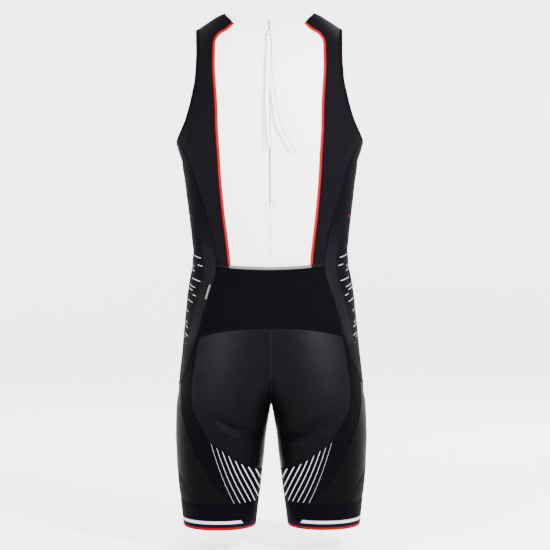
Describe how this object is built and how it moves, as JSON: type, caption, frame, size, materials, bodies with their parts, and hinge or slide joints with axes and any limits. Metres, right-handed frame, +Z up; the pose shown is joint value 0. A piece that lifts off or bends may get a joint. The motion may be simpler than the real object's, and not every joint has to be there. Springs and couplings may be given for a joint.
{
  "type": "triathlon suit",
  "caption": "Sleeveless one-piece triathlon suit with a rear zip, a back pocket and a padded seat, filled out as it is worn.",
  "frame": {"origin": "midway between the neck ends of the two shoulder seams, where the wearer's shoulders carry the suit", "axes": "+Z up along the wearer's back, +Y out of the back of the suit, +X to the wearer's left"},
  "size_m": [0.3524, 0.2338, 0.9423],
  "materials": {
    "white_cloth": "matt knitted",
    "black_cloth": "matt knitted",
    "pocket_cloth": "matt",
    "red_trim": "soft sheen",
    "seat_cloth": "soft sheen",
    "satin_cloth": "satin",
    "cuff_cloth": "matt, printed",
    "silver_elastic": "woven elastic",
    "ribbon": "woven ribbon",
    "zip_plastic": "semi-gloss"
  },
  "bodies": {
    "root": {"back_centre_left": "white_cloth", "back_centre_right": "white_cloth", "trim_left": "red_trim", "trim_right": "red_trim", "back_side_left": "black_cloth", "back_side_right": "black_cloth", "pocket": "pocket_cloth", "pocket_elastic": "silver_elastic", "label": "pocket_cloth", "zip_tape": "white_cloth", "zip_slider": "zip_plastic", "ribbon_tail_left": "ribbon", "ribbon_tail_right": "ribbon", "front_body": "black_cloth", "front_leg_left": "black_cloth", "front_leg_right": "black_cloth", "side_left": "black_cloth", "side_right": "black_cloth", "seat_left": "seat_cloth", "seat_right": "seat_cloth", "leg_back_left": "black_cloth", "leg_back_right": "black_cloth", "leg_outer_left": "satin_cloth", "leg_outer_right": "satin_cloth", "cuff_left": "cuff_cloth", "cuff_right": "cuff_cloth", "armhole_binding_left": "black_cloth", "armhole_binding_right": "black_cloth", "neck_binding_back_left": "white_cloth", "neck_binding_back_right": "white_cloth", "neck_binding_front": "black_cloth"}
  },
  "joints": []
}
